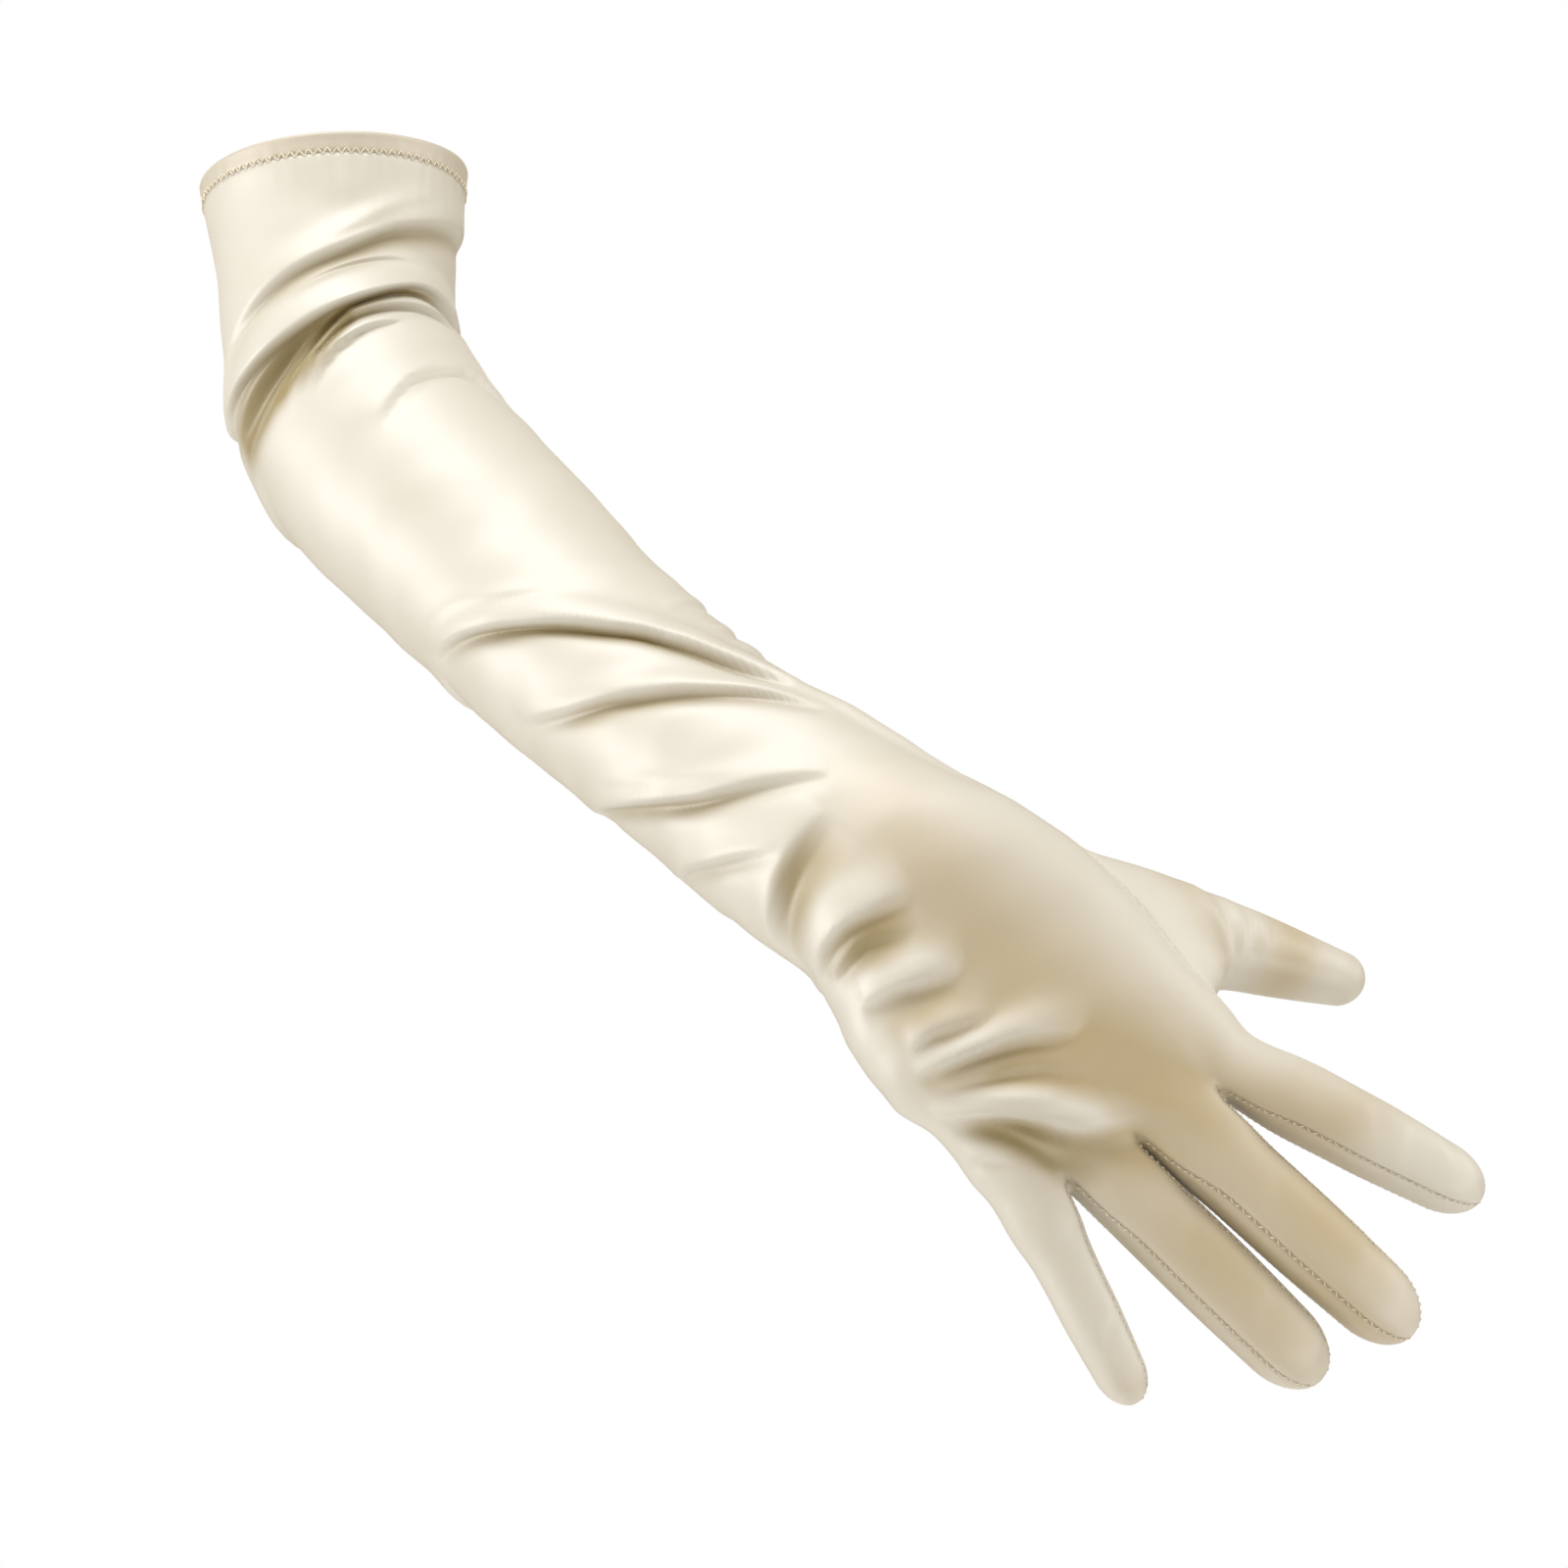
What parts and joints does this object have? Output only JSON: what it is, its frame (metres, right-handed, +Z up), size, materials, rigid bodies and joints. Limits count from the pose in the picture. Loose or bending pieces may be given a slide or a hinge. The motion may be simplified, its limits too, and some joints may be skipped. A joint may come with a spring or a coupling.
{
  "type": "evening glove",
  "caption": "Long right-hand opera glove in smooth stretch satin, worn shape with a bent elbow, soft folds, sewn finger side strips, a set-in thumb and a turned hem.",
  "frame": {"origin": "middle of the cuff's mouth, where the arm goes in", "axes": "+Z up the arm and out of the mouth, +X to the thumb's side, -Y towards the back of the hand"},
  "size_m": [0.3369, 0.2008, 0.332],
  "materials": {
    "satin": "ivory stretch satin with a soft sheen and a fine twill"
  },
  "bodies": {
    "root": {"glove_trank": "satin", "cuff_hem": "satin", "fourchette_index_middle": "satin", "fourchette_middle_ring": "satin", "fourchette_ring_little": "satin", "thumb": "satin"}
  },
  "joints": []
}
